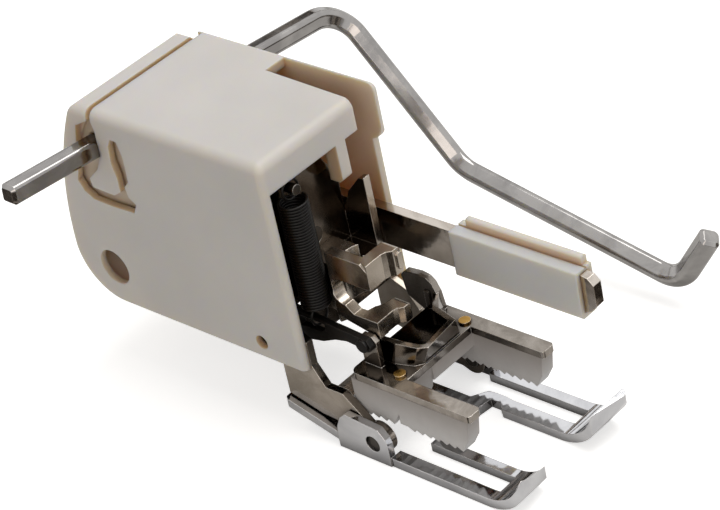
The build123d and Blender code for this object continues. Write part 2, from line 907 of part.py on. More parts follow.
# Carrier rivets: brass, they hold the pad to the plate
with BuildPart() as carrier_rivets:
    for x, y in carrier_rivet_places:
        with BuildSketch(Plane.XY.offset(plate_bottom - 1.5)) as rivet_body:
            with Locations((x, y)):
                Circle(0.5)
        extrude(rivet_body.sketch, amount=1.5 + plate_sheet + 0.1)
        with BuildSketch(Plane.XY.offset(plate_top)) as rivet_head:
            with Locations((x, y)):
                Circle(0.8)
        extrude(rivet_head.sketch, amount=0.3)
finish(carrier_rivets.part, "carrier_rivets")

# Drive link: one black plate from the carrier back to the slide block and the crank
stem_slot_low = stud_low_z - stud_r - run_gap
stem_slot_high = stud_high_z + stud_r + run_gap + lift_travel
crank_tip_y = lever_y + crank_reach
crank_tip_z = lever_z + crank_rise
link_arm_top = crank_tip_z - crank_stud_r - 0.6

with BuildPart() as drive_link:
    side_plate(
        link_left,
        link_right,
        [
            (link_rivet_y - 1.0, link_rivet_z - 0.7),
            (link_rivet_y - 1.2, link_rivet_z),
            (link_rivet_y - 0.7, link_rivet_z + 0.9),
            (-1.0, -4.45),
            (1.5, -4.3),
            (7.6, -3.65),
            (stem_y - 2.5, -3.4),
            (stem_y - 2.5, stem_slot_high + 1.5),
            (stem_y + 2.5, stem_slot_high + 1.5),
            (stem_y + 2.5, link_arm_top),
            (crank_tip_y + 1.6, link_arm_top),
            (crank_tip_y + 1.6, link_arm_top - 2.3),
            (stem_y + 4.0, link_arm_top - 2.3),
            (stem_y + 2.0, -7.0),
            (stem_y, -8.05),
            (6.3, -8.0),
            (3.4, -7.4),
            (1.2, -6.4),
            (-0.8, -5.95),
            (-2.6, -6.1),
            (link_rivet_y - 0.2, link_rivet_z - 1.0),
        ],
    )
    side_plate(
        link_left - 1,
        link_right + 1,
        [(2.6, -5.6), (2.6, -4.6), (3.2, -4.5), (6.9, -4.5), (6.9, -5.95), (3.4, -5.95)],
        Mode.SUBTRACT,
    )
    side_plate(
        link_left - 1,
        link_right + 1,
        [
            (stem_y - stud_r - run_gap, stem_slot_low),
            (stem_y - stud_r - run_gap, stem_slot_high),
            (stem_y + stud_r + run_gap, stem_slot_high),
            (stem_y + stud_r + run_gap, stem_slot_low),
        ],
        Mode.SUBTRACT,
    )
    cross_pin(
        link_left - 1, link_right + 1, link_rivet_y, link_rivet_z, link_rivet_r + seat_gap, Mode.SUBTRACT
    )
finish(drive_link.part, "drive_link")

# Link rivet
with BuildPart() as link_rivet:
    cross_pin(link_left - 0.1, shank_left - 0.2, link_rivet_y, link_rivet_z, link_rivet_r)
    cross_pin(link_left - 0.35, link_left, link_rivet_y, link_rivet_z, link_rivet_r + 0.3)
finish(link_rivet.part, "link_rivet")

# Slide block: runs along the rod and guides the link up and down
block_left = link_right + slip_gap
block_back = block_front + block_depth
stud_end = link_left - 0.7

with BuildPart() as feed_block:
    side_plate(
        block_left,
        1.0,
        [
            (block_front, block_bottom),
            (block_front, block_top),
            (block_back, block_top),
            (block_back, block_bottom),
        ],
    )
    fillet(feed_block.edges().filter_by(Axis.Y), radius=0.8)
    for z in (stud_low_z, stud_high_z):
        cross_pin(stud_end, block_left + 0.1, stem_y, z, stud_r)
    long_pin(block_front - 1, block_back + 1, rod_x, rod_z, rod_r + run_gap, Mode.SUBTRACT)
finish(feed_block.part, "feed_block")

# Washers that keep the link on the block's studs
with BuildPart() as block_washers:
    for z in (stud_low_z, stud_high_z):
        cross_pin(link_left - slip_gap - 0.5, link_left - slip_gap, stem_y, z, stud_r + 0.75)
        cross_pin(link_left - 2, link_left, stem_y, z, stud_r + seat_gap, Mode.SUBTRACT)
finish(block_washers.part, "block_washers")

# Slide rod
with BuildPart() as slide_rod:
    long_pin(web_y + seat_gap, tie_y + sheet + 0.5, rod_x, rod_z, rod_r)
    chamfer(slide_rod.edges().filter_by(GeomType.CIRCLE).sort_by(Axis.Y)[-1], length=0.3)
finish(slide_rod.part, "slide_rod")


def ridged_tube(plane, inner, outer, length, turns):
    """Adds a close-wound coil as a ridged tube along the plane's normal."""
    pitch = length / turns
    with BuildSketch(Plane(origin=plane.origin, x_dir=plane.x_dir, z_dir=-plane.y_dir)) as section:
        with BuildLine():
            ridge = [(inner, 0)]
            for turn in range(turns):
                ridge.append((outer - 0.18, turn * pitch))
                ridge.append((outer, (turn + 0.5) * pitch))
            ridge.append((outer - 0.18, length))
            ridge.append((inner, length))
            Polyline(*ridge, close=True)
        make_face()
    revolve(section.sketch, axis=Axis(plane.origin, plane.z_dir))


# Walk spring: pushes the slide block forward along its rod
with BuildPart() as walk_spring:
    walk_plane = Plane(origin=(rod_x, block_back + slip_gap, rod_z), x_dir=(1, 0, 0), z_dir=(0, 1, 0))
    ridged_tube(walk_plane, rod_r + 0.15, rod_r + 0.75, tie_y - block_back - 2 * slip_gap, 9)
finish(walk_spring.part, "walk_spring")

# Lift spring: close wound, it holds the feed carrier up
with BuildPart() as lift_spring:
    coil_plane = Plane(origin=(spring_x, spring_y, spring_bottom), x_dir=(1, 0, 0), z_dir=(0, 0, 1))
    ridged_tube(coil_plane, spring_r - 0.45, spring_r, spring_top - spring_bottom, 20)
    for eye_z, tail_z in (
        (spring_top + eye_r + 0.1, spring_top - 0.1),
        (spring_bottom - eye_r - 0.15, spring_bottom + 0.1),
    ):
        eye_plane = Plane(origin=(spring_x + eye_r, spring_y, eye_z), x_dir=(1, 0, 0), z_dir=(0, 0, 1))
        with BuildSketch(eye_plane) as eye:
            Circle(spring_wire / 2)
        revolve(eye.sketch, axis=Axis((spring_x, spring_y, eye_z), (0, 1, 0)))
        cross_pin(spring_x - spring_r + 0.3, spring_x + spring_r - 0.3, spring_y, tail_z, spring_wire / 2)
finish(lift_spring.part, "lift_spring")

# Spring post
with BuildPart() as spring_post:
    long_pin(spring_y - 1.2, web_y + sheet + 0.2, spring_x, spring_top + 1.7, post_r)
finish(spring_post.part, "spring_post")

# Lifting lever: rests on the needle clamp screw
with BuildPart() as lifting_lever:
    with BuildSketch(Plane.YZ.offset(lever_left)) as lever_side:
        with BuildLine():
            Polyline(
                (lever_tip, -0.6),
                (lever_tip, lever_top - 1.0),
                (lever_tip + 0.8, lever_top - 0.2),
                (sleeve_front, lever_top),
                (12.0, lever_top),
                (lever_y + 1.0, lever_z + hub_r),
                (lever_y + 1.0, lever_z - hub_r + 0.4),
                (lever_y - 4.0, lever_z - 2.2),
                (12.0, lever_bottom),
                (sleeve_front, lever_bottom),
                (lever_tip + 0.8, -1.5),
                close=True,
            )
        make_face()
        with Locations((lever_y, lever_z)):
            Circle(hub_r)
            Circle(shaft_r + seat_gap, mode=Mode.SUBTRACT)
    extrude(amount=lever_right - lever_left)
finish(lifting_lever.part, "lifting_lever")

# Lever sleeve: plastic cover pushed over the lever, with a ridge along its right side
with BuildPart() as lever_sleeve:
    with BuildSketch(Plane.XZ.offset(-sleeve_front)) as sleeve_end:
        with BuildLine():
            Polyline(
                (lever_left - sleeve_wall, lever_bottom - sleeve_wall),
                (lever_right + sleeve_right_wall, lever_bottom - sleeve_wall),
                (lever_right + sleeve_right_wall, lever_top + sleeve_top + sleeve_rise),
                (lever_right - 0.1, lever_top + sleeve_top + sleeve_rise),
                (lever_right - 0.1, lever_top + sleeve_top - 0.25),
                (lever_right - 0.4, lever_top + sleeve_top - 0.25),
                (lever_right - 0.4, lever_top + sleeve_top),
                (lever_left - sleeve_wall, lever_top + sleeve_top),
                close=True,
            )
        make_face()
        with Locations(((lever_left + lever_right) / 2, (lever_bottom + lever_top) / 2)):
            Rectangle(
                lever_right - lever_left + 2 * seat_gap,
                lever_top - lever_bottom + 2 * seat_gap,
                mode=Mode.SUBTRACT,
            )
    extrude(amount=-(sleeve_back - sleeve_front))
    fillet(lever_sleeve.edges().filter_by(Axis.Y).group_by(Axis.Z)[0], radius=0.4)
    fillet(lever_sleeve.edges().filter_by(Axis.Y).group_by(Axis.Z)[-1], radius=0.35)
    for y_end, y_cut in ((sleeve_front - 1, sleeve_front + 0.6), (sleeve_back - 1.3, sleeve_back + 1)):
        level_plate(
            lever_top + sleeve_top,
            lever_top + 3,
            [
                (lever_right - 1, y_end),
                (lever_right + 2, y_end),
                (lever_right + 2, y_cut),
                (lever_right - 1, y_cut),
            ],
            Mode.SUBTRACT,
        )
finish(lever_sleeve.part, "lever_sleeve")

# Lever shaft, crank and retaining clip
crank_left = -4.9
crank_right = -3.8
clip_sheet = 0.5
shaft_right = lever_right + slip_gap + clip_sheet + 0.3

with BuildPart() as lever_shaft:
    cross_pin(crank_left, shaft_right, lever_y, lever_z, shaft_r)
    chamfer(lever_shaft.edges().filter_by(GeomType.CIRCLE).sort_by(Axis.X)[-1], length=0.2)
finish(lever_shaft.part, "lever_shaft")

with BuildPart() as lift_crank:
    with BuildSketch(Plane.YZ.offset(crank_left)) as crank_side:
        with BuildLine():
            Polyline(
                (lever_y - 1.6, lever_z + 1.9),
                (crank_tip_y - 0.8, crank_tip_z + 1.3),
                (crank_tip_y + 0.8, crank_tip_z - 1.3),
                (lever_y + 1.6, lever_z - 1.9),
                close=True,
            )
        make_face()
        with Locations((lever_y, lever_z)):
            Circle(2.6)
            Circle(shaft_r + seat_gap, mode=Mode.SUBTRACT)
        with Locations((crank_tip_y, crank_tip_z)):
            Circle(1.5)
    extrude(amount=crank_right - crank_left)
    cross_pin(link_left - 0.3, crank_left + 0.1, crank_tip_y, crank_tip_z, crank_stud_r)
finish(lift_crank.part, "lift_crank")

with BuildPart() as shaft_clip:
    clip_left = lever_right + slip_gap
    cross_pin(clip_left, clip_left + clip_sheet, lever_y, lever_z, shaft_r + 1.1)
    cross_pin(clip_left - 1, clip_left + 2, lever_y, lever_z, shaft_r + seat_gap, Mode.SUBTRACT)
    side_plate(
        clip_left - 1,
        clip_left + 2,
        [
            (lever_y - 0.9, lever_z),
            (lever_y - 0.9, lever_z + 4),
            (lever_y + 0.9, lever_z + 4),
            (lever_y + 0.9, lever_z),
        ],
        Mode.SUBTRACT,
    )
finish(shaft_clip.part, "shaft_clip")

with BuildPart() as lever_spacer:
    cross_pin(right_plate_right + slip_gap, lever_left - seat_gap, lever_y, lever_z, shaft_r + 0.9)
    cross_pin(right_plate_right, lever_left, lever_y, lever_z, shaft_r + seat_gap, Mode.SUBTRACT)
finish(lever_spacer.part, "lever_spacer")

# Guide bar: one bent rod with flats, its tip upturned
guide_bend = guide_point(guide_bend_x)
guide_knee = Vector(34.7, 15.4, -9.8)
guide_toe = Vector(34.0, -20.6, -16.7)
guide_tip = Vector(34.6, -26.0, -8.2)

with BuildPart() as guide_bar:
    with BuildLine() as guide_path:
        FilletPolyline(
            guide_point(guide_left_x), guide_bend, guide_knee, guide_toe, guide_tip, radius=[5.0, 6.0, 4.5]
        )
    with BuildSketch(guide_plane(guide_left_x)) as guide_section:
        RectangleRounded(guide_size, guide_size, guide_corner)
    sweep(guide_section.sketch, path=guide_path.line)
    left_end = guide_bar.faces().sort_by(Axis.X)[0]
    tip_end = guide_bar.faces().filter_by(GeomType.PLANE).sort_by(Axis.Y)[0]
    for end in (left_end, tip_end):
        chamfer(end.edges(), length=0.45)
finish(guide_bar.part, "guide_bar")
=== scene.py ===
import math

import bpy
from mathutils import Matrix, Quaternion, Vector


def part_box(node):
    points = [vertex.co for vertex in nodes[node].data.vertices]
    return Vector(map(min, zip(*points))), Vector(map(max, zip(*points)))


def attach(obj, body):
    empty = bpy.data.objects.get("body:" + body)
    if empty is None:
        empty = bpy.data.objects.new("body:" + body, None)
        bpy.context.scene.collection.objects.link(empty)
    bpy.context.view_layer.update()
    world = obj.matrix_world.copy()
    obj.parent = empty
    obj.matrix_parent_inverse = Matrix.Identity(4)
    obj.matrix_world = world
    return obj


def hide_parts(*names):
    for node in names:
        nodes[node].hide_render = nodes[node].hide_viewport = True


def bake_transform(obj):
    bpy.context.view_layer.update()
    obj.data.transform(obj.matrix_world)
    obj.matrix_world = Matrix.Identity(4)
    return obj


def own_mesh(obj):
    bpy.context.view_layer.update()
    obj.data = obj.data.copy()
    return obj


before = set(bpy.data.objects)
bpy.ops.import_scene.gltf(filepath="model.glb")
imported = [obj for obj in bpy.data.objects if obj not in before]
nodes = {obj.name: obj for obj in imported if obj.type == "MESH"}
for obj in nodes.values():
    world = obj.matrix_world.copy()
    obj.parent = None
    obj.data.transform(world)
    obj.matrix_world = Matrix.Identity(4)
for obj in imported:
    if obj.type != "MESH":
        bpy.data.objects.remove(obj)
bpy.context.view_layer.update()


# Housing and lever sleeve: cream ABS, injection moulded with a fine satin spark finish.
# The plastic lets a little light through, and slots and deep walls are painted a warm tan as
# painted shade and bounce light. Its skin has a faint grain of about 0.4 mm, drawn coarser than
# the real one so that it shows.
def colour(hex_value):
    """Turns an sRGB hex value to linear RGBA."""
    channels = [int(hex_value[i : i + 2], 16) / 255.0 for i in (1, 3, 5)]
    linear = [c / 12.92 if c <= 0.04045 else ((c + 0.055) / 1.055) ** 2.4 for c in channels]
    return (*linear, 1.0)


def add_node(tree, kind, settings=None, links=None):
    """Adds a node, sets its attributes and input values, and links its inputs."""
    node = tree.nodes.new(kind)
    for name, value in (settings or {}).items():
        if name in node.inputs:
            node.inputs[name].default_value = value
        else:
            setattr(node, name, value)
    for name, source in (links or {}).items():
        tree.links.new(source, node.inputs[name])
    return node


def new_material(name):
    """Makes an empty node material and returns it with its tree."""
    material = bpy.data.materials.new(name)
    material.use_nodes = True
    material.node_tree.nodes.clear()
    return material, material.node_tree


def dress(piece, material):
    """Puts one material in every slot of a piece."""
    if not piece.data.materials:
        piece.data.materials.append(material)
    for index in range(len(piece.data.materials)):
        piece.data.materials[index] = material


occlusion_samples = 12
edge_samples = 6
wall_reach = 0.013
moulded_edge_r = 0.00045
spark_depth = 0.00003
cream_abs, tree = new_material("cream_moulded_abs")
place = add_node(tree, "ShaderNodeTexCoord")
cloud = add_node(
    tree,
    "ShaderNodeTexNoise",
    {"Scale": 70.0, "Detail": 2.0, "Roughness": 0.5},
    {"Vector": place.outputs["Object"]},
)
tone = add_node(tree, "ShaderNodeValToRGB", links={"Fac": cloud.outputs["Fac"]})
tone.color_ramp.elements[0].position = 0.3
tone.color_ramp.elements[1].position = 0.7
tone.color_ramp.elements[0].color = colour("#CCC8C4")
tone.color_ramp.elements[1].color = colour("#D3CECA")
# Painted shade and bounce light: where walls close in, the cream turns a warm tan.
deep = add_node(
    tree, "ShaderNodeAmbientOcclusion", {"samples": occlusion_samples, "Distance": wall_reach}
)
painted_warmth = add_node(
    tree,
    "ShaderNodeMapRange",
    {"From Min": 0.45, "From Max": 0.92, "To Min": 0.62, "To Max": 0.0},
    {"Value": deep.outputs["AO"]},
)
tone_with_painted_warmth = add_node(
    tree,
    "ShaderNodeMixRGB",
    {"Color2": colour("#BA965C")},
    {"Fac": painted_warmth.outputs["Result"], "Color1": tone.outputs["Color"]},
)
spark = add_node(
    tree,
    "ShaderNodeTexNoise",
    {"Scale": 2600.0, "Detail": 3.0, "Roughness": 0.6},
    {"Vector": place.outputs["Object"]},
)
soft_edge = add_node(tree, "ShaderNodeBevel", {"samples": edge_samples, "Radius": moulded_edge_r})
skin = add_node(
    tree,
    "ShaderNodeBump",
    {"Strength": 0.12, "Distance": spark_depth},
    {"Height": spark.outputs["Fac"], "Normal": soft_edge.outputs["Normal"]},
)
plastic = add_node(
    tree,
    "ShaderNodeBsdfPrincipled",
    {
        "Roughness": 0.45,
        "IOR": 1.53,
        "Subsurface Weight": 0.7,
        "Subsurface Radius": (0.0030, 0.0021, 0.0008),
        "Subsurface Scale": 1.0,
    },
    {"Base Color": tone_with_painted_warmth.outputs["Color"], "Normal": skin.outputs["Normal"]},
)
add_node(tree, "ShaderNodeOutputMaterial", links={"Surface": plastic.outputs[0]})
for name in ("housing", "lever_sleeve"):
    dress(nodes[name], cream_abs)


# Frame: pressed steel sheet with bright nickel plate over its tumbled edges, screwed into the
# housing. Corners and the web inside the housing are darkened with painted shade, and the
# edges are lightened, partly as rubbed wear and partly as painted highlight.
tumbled_edge_r = 0.00014
plate_wave_depth = 0.00008
shade_fade_back = 0.001
shade_fade_down = 0.006


def plated(name, light_hex, dark_hex, shade_hex, recess_shade, reach, gloss, ripple, full_shade_from=None):
    """Makes a plated metal with tone and gloss drift, painted recess shade and pale edges.

    Above and behind the given (y, z) point, painted shade lies on every face.
    """
    material, tree = new_material(name)
    place = add_node(tree, "ShaderNodeTexCoord")
    drift = add_node(
        tree,
        "ShaderNodeTexNoise",
        {"Scale": 190.0, "Detail": 4.0, "Roughness": 0.6, "Distortion": 0.6},
        {"Vector": place.outputs["Object"]},
    )
    tone = add_node(tree, "ShaderNodeValToRGB", links={"Fac": drift.outputs["Fac"]})
    tone.color_ramp.elements[0].position = 0.38
    tone.color_ramp.elements[1].position = 0.62
    tone.color_ramp.elements[0].color = colour(dark_hex)
    tone.color_ramp.elements[1].color = colour(light_hex)
    # Painted shade: recesses darken towards the shade colour.
    deep = add_node(
        tree, "ShaderNodeAmbientOcclusion", {"samples": occlusion_samples, "Distance": reach}
    )
    painted_shade_mask = add_node(
        tree,
        "ShaderNodeMapRange",
        {"From Min": 0.30, "From Max": 0.90, "To Min": recess_shade, "To Max": 0.0},
        {"Value": deep.outputs["AO"]},
    )
    # Painted shade over every face behind and above the given point.
    if full_shade_from is not None:
        shade_back, shade_up = full_shade_from
        apart = add_node(tree, "ShaderNodeSeparateXYZ", links={"Vector": place.outputs["Object"]})
        behind = add_node(
            tree,
            "ShaderNodeMapRange",
            {"From Min": shade_back - shade_fade_back, "From Max": shade_back, "To Min": 0.0, "To Max": 1.0},
            {"Value": apart.outputs["Y"]},
        )
        above = add_node(
            tree,
            "ShaderNodeMapRange",
            {"From Min": shade_up - shade_fade_down, "From Max": shade_up, "To Min": 0.0, "To Max": 0.88},
            {"Value": apart.outputs["Z"]},
        )
        shut_in_shade = add_node(
            tree,
            "ShaderNodeMath",
            {"operation": "MULTIPLY"},
            {0: behind.outputs[0], 1: above.outputs[0]},
        )
        painted_shade_mask = add_node(
            tree,
            "ShaderNodeMath",
            {"operation": "MAXIMUM"},
            {0: painted_shade_mask.outputs[0], 1: shut_in_shade.outputs[0]},
        )
    shaded_tone = add_node(
        tree,
        "ShaderNodeMixRGB",
        {"Color2": colour(shade_hex)},
        {"Fac": painted_shade_mask.outputs[0], "Color1": tone.outputs["Color"]},
    )
    # Edges turn pale: partly rubbed wear, partly a painted highlight.
    edge = add_node(tree, "ShaderNodeBevel", {"samples": edge_samples, "Radius": tumbled_edge_r})
    flat = add_node(tree, "ShaderNodeNewGeometry")
    turn = add_node(
        tree,
        "ShaderNodeVectorMath",
        {"operation": "DOT_PRODUCT"},
        {0: edge.outputs["Normal"], 1: flat.outputs["Normal"]},
    )
    edge_wear_and_highlight = add_node(
        tree,
        "ShaderNodeMapRange",
        {"From Min": 0.80, "From Max": 0.98, "To Min": 0.5, "To Max": 0.0},
        {"Value": turn.outputs["Value"]},
    )
    edge_wear_and_highlight_tone = add_node(
        tree,
        "ShaderNodeMixRGB",
        {"Color2": colour("#E6E0D8")},
        {"Fac": edge_wear_and_highlight.outputs["Result"], "Color1": shaded_tone.outputs["Color"]},
    )
    blur = add_node(
        tree,
        "ShaderNodeMapRange",
        {"From Min": 0.3, "From Max": 0.7, "To Min": gloss * 0.7, "To Max": gloss * 1.4},
        {"Value": drift.outputs["Fac"]},
    )
    wave = add_node(
        tree,
        "ShaderNodeTexNoise",
        {"Scale": 330.0, "Detail": 2.0, "Roughness": 0.4},
        {"Vector": place.outputs["Object"]},
    )
    skin = add_node(
        tree,
        "ShaderNodeBump",
        {"Strength": ripple, "Distance": plate_wave_depth},
        {"Height": wave.outputs["Fac"], "Normal": edge.outputs["Normal"]},
    )
    metal = add_node(
        tree,
        "ShaderNodeBsdfPrincipled",
        {"Metallic": 1.0},
        {
            "Base Color": edge_wear_and_highlight_tone.outputs["Color"],
            "Roughness": blur.outputs["Result"],
            "Normal": skin.outputs["Normal"],
        },
    )
    add_node(tree, "ShaderNodeOutputMaterial", links={"Surface": metal.outputs[0]})
    return material


# Behind and above this point, the frame's web inside the housing takes painted shade.
full_shade_y = 0.0067
full_shade_z = 0.004
frame_nickel = plated(
    "nickel_plated_sheet",
    "#CFC4B8",
    "#B2A89B",
    "#352C23",
    recess_shade=0.9,
    reach=0.012,
    gloss=0.15,
    ripple=0.35,
    full_shade_from=(full_shade_y, full_shade_z),
)
dress(nodes["frame"], frame_nickel)

# Shank: the clamp for the presser bar, a steel forging under the same bright nickel, riveted
# to the frame's web. It is thicker and rounder than the sheet and mirrors in softer patches.
# Its third colour is the painted shade for its recesses.
shank_nickel = plated(
    "nickel_plated_forging",
    "#C4BAAD",
    "#ABA194",
    "#7A6F62",
    recess_shade=0.6,
    reach=0.004,
    gloss=0.21,
    ripple=0.5,
)
dress(nodes["shank"], shank_nickel)

# Shank rivets, rod, shaft, crank and washers: plain turned steel, oiled. They are
# duller than the plate and have a slight grey drift from the bar stock.
# Its third colour is the painted shade for its recesses, strongly darkened.
turned_steel = plated(
    "turned_steel",
    "#857F78",
    "#67625B",
    "#1F1B17",
    recess_shade=0.95,
    reach=0.009,
    gloss=0.3,
    ripple=0.2,
)
for name in ("shank_rivets", "block_washers", "slide_rod", "lever_shaft", "lift_crank"):
    dress(nodes[name], turned_steel)

# Spring post and sole pins: the same bar steel, sunk in their holes. Their darker tone and the
# recess darkening are painted shade, so that their ends look dark beside the plate.
pin_steel_shaded = plated(
    "pin_steel_painted_shade",
    "#5A554F",
    "#3D3934",
    "#14110E",
    recess_shade=1.0,
    reach=0.003,
    gloss=0.32,
    ripple=0.3,
)
for name in ("spring_post", "sole_pins"):
    dress(nodes[name], pin_steel_shaded)

# Drive link, its rivet, slide block and shaft clip: steel blackened in a hot oxide bath and
# oiled, almost matt. The oxide is worn to grey along the edges that rub.
black_oxide, tree = new_material("black_oxide_steel")
place = add_node(tree, "ShaderNodeTexCoord")
stain = add_node(
    tree,
    "ShaderNodeTexNoise",
    {"Scale": 320.0, "Detail": 4.0, "Roughness": 0.6},
    {"Vector": place.outputs["Object"]},
)
tone = add_node(tree, "ShaderNodeValToRGB", links={"Fac": stain.outputs["Fac"]})
tone.color_ramp.elements[0].color = colour("#090807")
tone.color_ramp.elements[1].color = colour("#1A1714")
edge = add_node(tree, "ShaderNodeBevel", {"samples": edge_samples, "Radius": tumbled_edge_r})
flat = add_node(tree, "ShaderNodeNewGeometry")
turn = add_node(
    tree,
    "ShaderNodeVectorMath",
    {"operation": "DOT_PRODUCT"},
    {0: edge.outputs["Normal"], 1: flat.outputs["Normal"]},
)
worn = add_node(
    tree,
    "ShaderNodeMapRange",
    {"From Min": 0.75, "From Max": 0.98, "To Min": 0.5, "To Max": 0.0},
    {"Value": turn.outputs["Value"]},
)
worn_tone = add_node(
    tree,
    "ShaderNodeMixRGB",
    {"Color2": colour("#5C564F")},
    {"Fac": worn.outputs["Result"], "Color1": tone.outputs["Color"]},
)
oxide = add_node(
    tree,
    "ShaderNodeBsdfPrincipled",
    {"Metallic": 0.5, "Roughness": 0.36},
    {"Base Color": worn_tone.outputs["Color"], "Normal": edge.outputs["Normal"]},
)
add_node(tree, "ShaderNodeOutputMaterial", links={"Surface": oxide.outputs[0]})
for name in ("drive_link", "link_rivet", "feed_block", "shaft_clip"):
    dress(nodes[name], black_oxide)


# Lift spring: black music wire, close wound on one helix, with a round eye at each end. It hangs
# on the post and pulls the drive link up. The coil doesn't stretch here when the feed goes down.
wire_sides = 8
steps_per_turn = 20


def wound_coil(name, wire_r, coil_r, length, turns):
    """Winds a wire round the Z axis with the screw modifier and returns the coil."""
    bpy.ops.object.select_all(action="DESELECT")
    bpy.ops.mesh.primitive_circle_add(
        vertices=wire_sides, radius=wire_r, rotation=(math.pi / 2, 0.0, 0.0)
    )
    coil = bpy.context.active_object
    coil.name = name
    bpy.ops.object.transform_apply(location=True, rotation=True, scale=True)
    bpy.ops.object.mode_set(mode="EDIT")
    bpy.ops.mesh.select_all(action="SELECT")
    bpy.ops.transform.translate(value=(coil_r - wire_r, 0.0, wire_r))
    bpy.ops.object.mode_set(mode="OBJECT")
    bpy.ops.object.modifier_add(type="SCREW")
    screw = coil.modifiers[-1]
    screw.axis = "Z"
    screw.angle = math.tau
    screw.screw_offset = (length - 2.0 * wire_r) / turns
    screw.iterations = turns
    screw.steps = steps_per_turn
    screw.render_steps = steps_per_turn
    screw.use_merge_vertices = True
    bpy.ops.object.modifier_apply(modifier=screw.name)
    bpy.ops.object.mode_set(mode="EDIT")
    bpy.ops.mesh.select_all(action="DESELECT")
    bpy.ops.mesh.select_mode(type="EDGE")
    bpy.ops.mesh.select_non_manifold()
    bpy.ops.mesh.edge_face_add()
    bpy.ops.mesh.select_mode(type="VERT")
    bpy.ops.mesh.select_all(action="SELECT")
    bpy.ops.mesh.normals_make_consistent(inside=False)
    bpy.ops.object.mode_set(mode="OBJECT")
    bpy.ops.object.shade_smooth()
    return coil


def settle(piece, place, turn=(0.0, 0.0, 0.0)):
    """Turns and moves a piece, then applies both to its mesh."""
    bpy.ops.object.select_all(action="DESELECT")
    piece.select_set(True)
    bpy.context.view_layer.objects.active = piece
    piece.rotation_euler = turn
    piece.location = place
    bpy.ops.object.transform_apply(location=True, rotation=True, scale=True)


spring_low, spring_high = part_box("lift_spring")
spring_x = (spring_low[0] + spring_high[0]) / 2
spring_y = (spring_low[1] + spring_high[1]) / 2
spring_wire_r = 0.00019
spring_turns = 37
eye_r = 0.00135
eye_inset = 0.0002
lower_hook_gap = 0.00035
upper_hook_gap = 0.0003
coil_low = spring_low[2] + 2 * eye_r + lower_hook_gap
coil_high = spring_high[2] - 2 * eye_r - upper_hook_gap
coil_r = (spring_high[0] - spring_low[0]) / 2
lift_coil = wound_coil("lift_coil", spring_wire_r, coil_r, coil_high - coil_low, spring_turns)
settle(lift_coil, (spring_x, spring_y, coil_low))
for eye_z in (spring_low[2] + eye_r + eye_inset, spring_high[2] - eye_r - eye_inset):
    bpy.ops.object.select_all(action="DESELECT")
    bpy.ops.mesh.primitive_torus_add(
        major_segments=32,
        minor_segments=wire_sides,
        major_radius=eye_r,
        minor_radius=spring_wire_r,
        rotation=(math.pi / 2, 0.0, 0.0),
        location=(spring_x, spring_y, eye_z),
    )
    bpy.ops.object.transform_apply(location=True, rotation=True, scale=True)
    bpy.ops.object.shade_smooth()
    lift_coil.select_set(True)
    bpy.context.view_layer.objects.active = lift_coil
    bpy.ops.object.join()
dress(lift_coil, black_oxide)
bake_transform(lift_coil)
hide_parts("lift_spring")

# Walk spring: the same black wire, wound open round the slide rod behind the block, which it
# pushes to the front again after each step of the fabric.
walk_low, walk_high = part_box("walk_spring")
walk_length = walk_high[1] - walk_low[1]
walk_wire_r = 0.0002
walk_coil_r = (walk_high[0] - walk_low[0]) / 2
walk_turns = 9
walk_coil = wound_coil("walk_coil", walk_wire_r, walk_coil_r, walk_length, walk_turns)
walk_centre = ((walk_low[0] + walk_high[0]) / 2, walk_low[1], (walk_low[2] + walk_high[2]) / 2)
settle(walk_coil, walk_centre, (-math.pi / 2, 0.0, 0.0))
dress(walk_coil, black_oxide)
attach(walk_coil, "frame_body")
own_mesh(walk_coil)
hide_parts("walk_spring")

# Feed carrier: a pressed steel dish and arm, nickel plated in a barrel, which leaves it
# cloudier than the frame. The deep dish is darkened with painted shade.
carrier_nickel = plated(
    "barrel_nickel_plate",
    "#B5ADA4",
    "#8F877E",
    "#1C150F",
    recess_shade=1.0,
    reach=0.016,
    gloss=0.11,
    ripple=0.6,
)
dress(nodes["feed_carrier"], carrier_nickel)

# Carrier rivets and lever spacer: turned bright brass. The rivets go down through the carrier
# into the rubber pad, and the riveting has polished their heads.
# Its third colour is the painted shade for its recesses.
bright_brass = plated(
    "bright_brass",
    "#C9A35A",
    "#A37C3A",
    "#4A3415",
    recess_shade=0.8,
    reach=0.005,
    gloss=0.2,
    ripple=0.25,
)
for name in ("carrier_rivets", "lever_spacer"):
    dress(nodes[name], bright_brass)

# Feed pad: pale grey rubber moulded on under the carrier, matt and slightly dusty, with soft
# tooth edges. Painted shade turns it a warm grey towards the plate above it.
grey_rubber, tree = new_material("grey_moulded_rubber")
place = add_node(tree, "ShaderNodeTexCoord")
dust = add_node(
    tree,
    "ShaderNodeTexNoise",
    {"Scale": 500.0, "Detail": 4.0, "Roughness": 0.6},
    {"Vector": place.outputs["Object"]},
)
tone = add_node(tree, "ShaderNodeValToRGB", links={"Fac": dust.outputs["Fac"]})
tone.color_ramp.elements[0].color = colour("#B9B7B5")
tone.color_ramp.elements[1].color = colour("#CBC9C7")
tooth_edge_r = 0.0002
dust_depth = 0.00004
shade_start = 0.0012
pad_low, pad_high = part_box("feed_pad")
